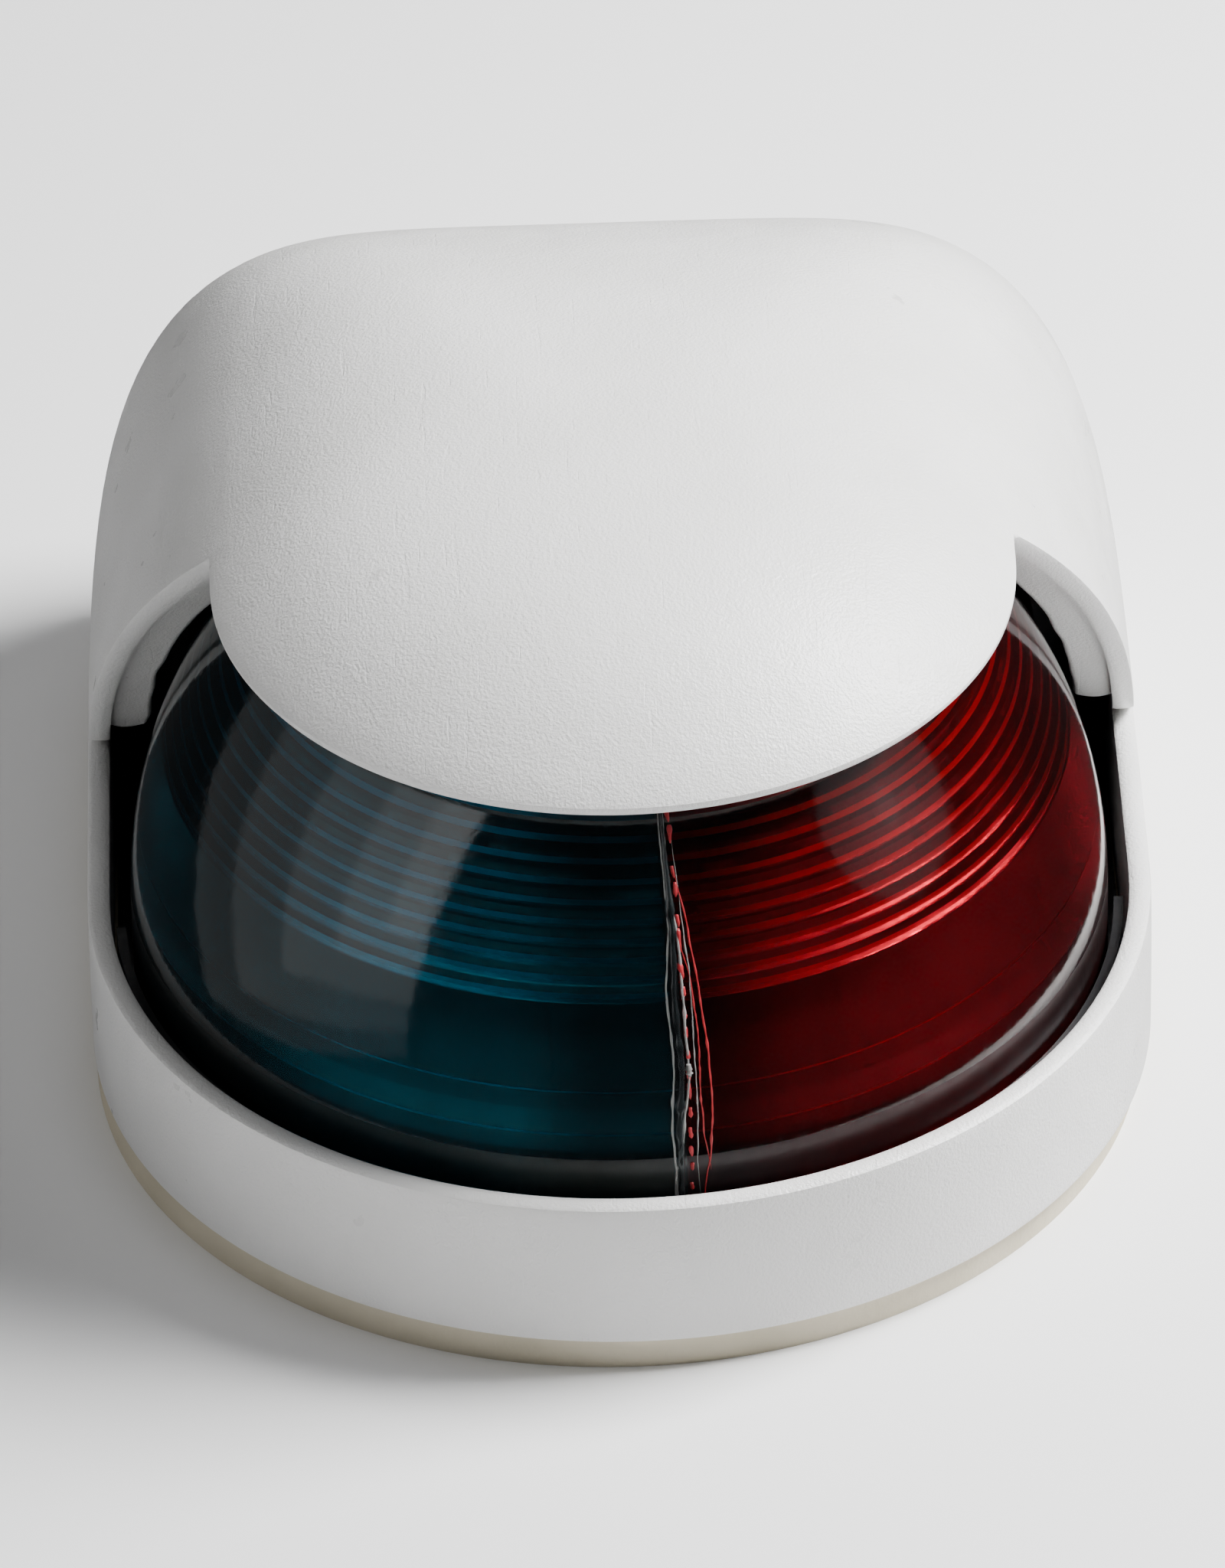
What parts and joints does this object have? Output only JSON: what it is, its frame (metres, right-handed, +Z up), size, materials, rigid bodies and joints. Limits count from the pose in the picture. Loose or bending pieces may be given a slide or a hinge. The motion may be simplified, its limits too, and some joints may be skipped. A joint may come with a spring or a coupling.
{
  "type": "navigation light",
  "caption": "Deck-mounted two-colour bow navigation light: white hooded housing, green and red domed lens, festoon bulb.",
  "frame": {"origin": "on the deck, under the axis of the bulb and of the lens's dome", "axes": "+Z up from the deck; -Y dead ahead, where the light looks; green on -X, red on +X"},
  "size_m": [0.072, 0.093, 0.048],
  "materials": {
    "housing_white": "satin white moulding with a fine grain",
    "moulding_black": "matte black moulding",
    "gasket_beige": "matte beige foam rubber",
    "lens_green": "clear blue-green plastic, polished",
    "lens_red": "clear red plastic, polished",
    "adhesive": "clear hardened adhesive",
    "rubber_black": "matte black rubber",
    "stainless": "bright stainless steel",
    "contact_brass": "plain brass strip",
    "bulb_glass": "clear glass",
    "bulb_cap": "plated metal",
    "filament": "grey tungsten wire",
    "lead_red": "red lead insulation",
    "lead_black": "black lead insulation"
  },
  "bodies": {
    "base": {"base_plate": "moulding_black", "deck_gasket": "gasket_beige", "lens_seal": "rubber_black", "rear_screen": "moulding_black", "centre_screen": "moulding_black", "lamp_post": "moulding_black", "lamp_post_screws": "stainless", "contact_lower": "contact_brass", "contact_rivets": "contact_brass", "terminal_block": "moulding_black", "terminal_plates": "contact_brass", "lead_supply": "lead_red", "lead_return": "lead_black", "cable_grommet": "rubber_black"},
    "cover": {"housing_cover": "housing_white", "cover_baffles": "moulding_black", "cover_nut": "stainless"},
    "cover_fastener": {"cover_screw": "stainless"},
    "lens": {"lens_green": "lens_green", "lens_red": "lens_red", "lens_seam": "adhesive"},
    "bulb": {"bulb_glass": "bulb_glass", "bulb_cap_lower": "bulb_cap", "bulb_cap_upper": "bulb_cap", "bulb_filament": "filament"},
    "upper_contact": {"contact_upper": "contact_brass"},
    "green_terminal": {"terminal_screw_green": "stainless"},
    "red_terminal": {"terminal_screw_red": "stainless"}
  },
  "joints": [
    {"name": "cover_lift", "type": "slide", "parent": "base", "child": "cover", "axis": [0, 0, 1], "range_m": [0, 0.12]},
    {"name": "lens_lift", "type": "slide", "parent": "base", "child": "lens", "axis": [0, 0, 1], "range_m": [0, 0.06]},
    {"name": "cover_screw_turn", "type": "hinge", "parent": "cover", "child": "cover_fastener", "pos_m": [0, 0.05, 0.01], "axis": [0, 1, 0], "continuous": true},
    {"name": "bulb_out", "type": "slide", "parent": "base", "child": "bulb", "axis": [-1, 0, 0], "range_m": [0, 0.012]},
    {"name": "contact_flex", "type": "hinge", "parent": "base", "child": "upper_contact", "pos_m": [0, 0.0114, 0.0405], "axis": [-1, 0, 0], "range_deg": [0, 4], "stiffness_Nm_per_rad": 0.05},
    {"name": "green_terminal_turn", "type": "hinge", "parent": "base", "child": "green_terminal", "pos_m": [-0.0055, 0.0325, 0.0128], "axis": [0, 0, 1], "continuous": true},
    {"name": "red_terminal_turn", "type": "hinge", "parent": "base", "child": "red_terminal", "pos_m": [0.0055, 0.0325, 0.0128], "axis": [0, 0, 1], "continuous": true}
  ],
  "couplings": [
    {"joint": "lens_lift", "follows": "cover_lift", "ratio": 0.5}
  ]
}
